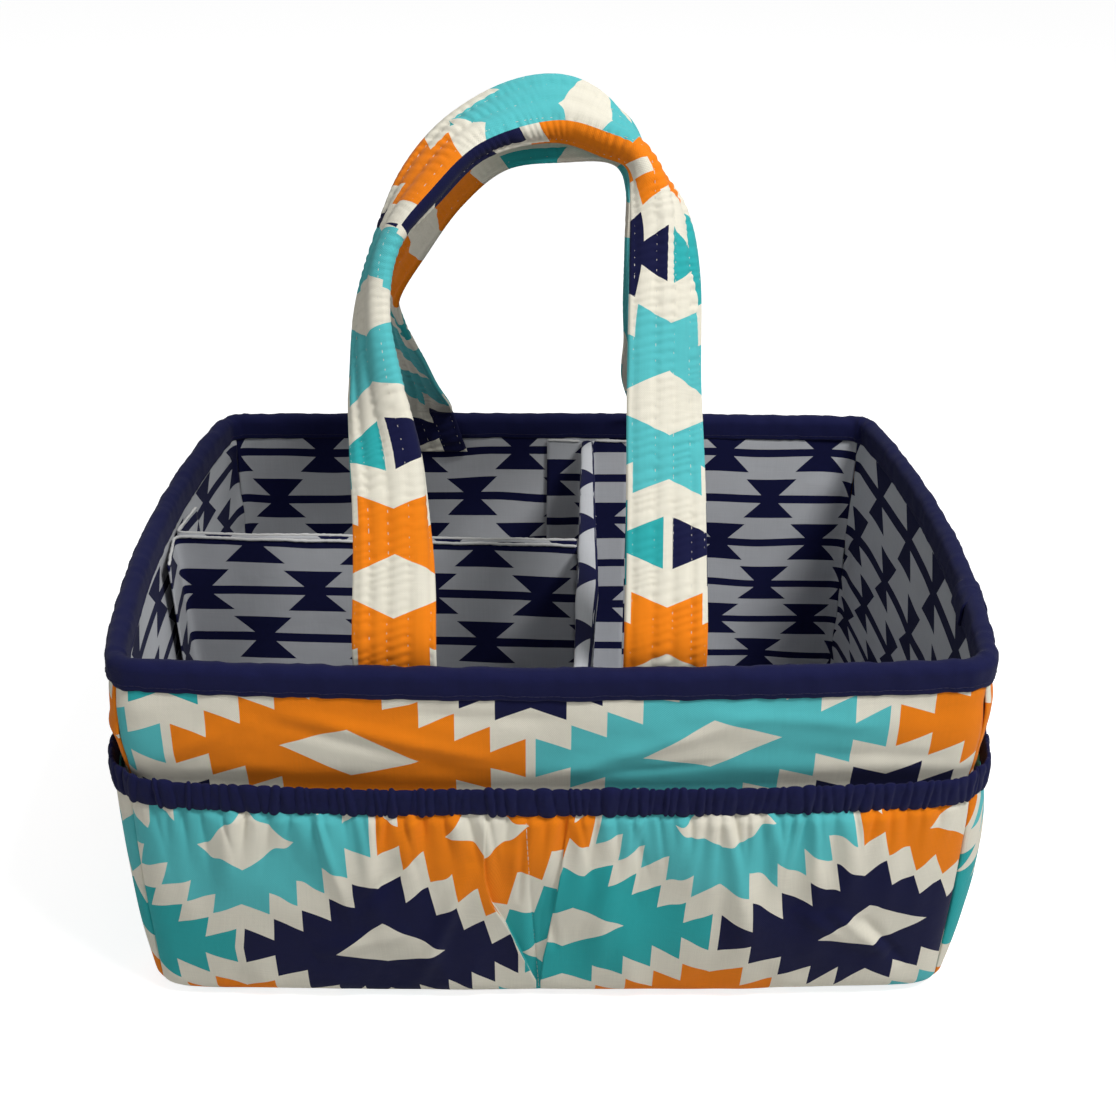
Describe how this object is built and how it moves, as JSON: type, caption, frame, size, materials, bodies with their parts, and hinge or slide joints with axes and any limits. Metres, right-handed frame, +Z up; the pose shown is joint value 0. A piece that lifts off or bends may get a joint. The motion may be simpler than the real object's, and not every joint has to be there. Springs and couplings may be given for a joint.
{
  "type": "fabric storage caddy",
  "caption": "Open-topped fabric caddy with a bound rim, gathered outside pockets on elastic, a lift-out padded divider and two quilted strap handles that lean together over it.",
  "frame": {"origin": "on the floor, under the middle of the caddy as seen from above", "axes": "+X to the right, +Y to the back, +Z up; the side with the front handle faces -Y"},
  "size_m": [0.3992, 0.296, 0.3771],
  "materials": {
    "print_cotton": "matte plain-weave cotton with a printed pattern of stepped diamonds",
    "lining_cotton": "matte plain-weave cotton with a printed pattern of stripes and bow-ties",
    "navy_cotton": "matte plain-weave cotton bias binding, ruched over elastic on the pockets",
    "quilted_strap": "printed cotton quilted over batting with lengthwise rows of white stitches",
    "stiffener_board": "firm pressed fibre board, hidden between the fabric layers"
  },
  "bodies": {
    "caddy": {"base_cover": "print_cotton", "base_board": "stiffener_board", "base_lining": "lining_cotton", "outer_panel_front": "print_cotton", "wall_board_front": "stiffener_board", "lining_panel_front": "lining_cotton", "outer_panel_right": "print_cotton", "wall_board_right": "stiffener_board", "lining_panel_right": "lining_cotton", "outer_panel_back": "print_cotton", "wall_board_back": "stiffener_board", "lining_panel_back": "lining_cotton", "outer_panel_left": "print_cotton", "wall_board_left": "stiffener_board", "lining_panel_left": "lining_cotton", "rim_binding": "navy_cotton", "rim_binding_lap": "navy_cotton", "pocket_front": "print_cotton", "elastic_casing_front": "navy_cotton", "pocket_right": "print_cotton", "elastic_casing_right": "navy_cotton", "pocket_back": "print_cotton", "elastic_casing_back": "navy_cotton", "pocket_left": "print_cotton", "elastic_casing_left": "navy_cotton", "front_handle_end_left": "quilted_strap", "front_handle_end_right": "quilted_strap", "rear_handle_end_left": "quilted_strap", "rear_handle_end_right": "quilted_strap"},
    "front_handle": {"front_handle_strap": "quilted_strap"},
    "rear_handle": {"rear_handle_strap": "quilted_strap"},
    "divider_insert": {"centre_divider_board": "stiffener_board", "centre_divider_leaf_left": "lining_cotton", "centre_divider_leaf_right": "lining_cotton", "cross_divider_board": "stiffener_board", "cross_divider_leaf_front": "lining_cotton", "cross_divider_leaf_back": "lining_cotton"}
  },
  "joints": [
    {"name": "front_handle_swing", "type": "hinge", "parent": "caddy", "child": "front_handle", "pos_m": [0, -0.12764, 0.178], "axis": [1, 0, 0], "range_deg": [0, 120]},
    {"name": "rear_handle_swing", "type": "hinge", "parent": "caddy", "child": "rear_handle", "pos_m": [0, 0.1271, 0.178], "axis": [-1, 0, 0], "range_deg": [0, 123.5]},
    {"name": "divider_lift", "type": "slide", "parent": "caddy", "child": "divider_insert", "axis": [0, 0, 1], "range_m": [0, 0.1665]}
  ]
}
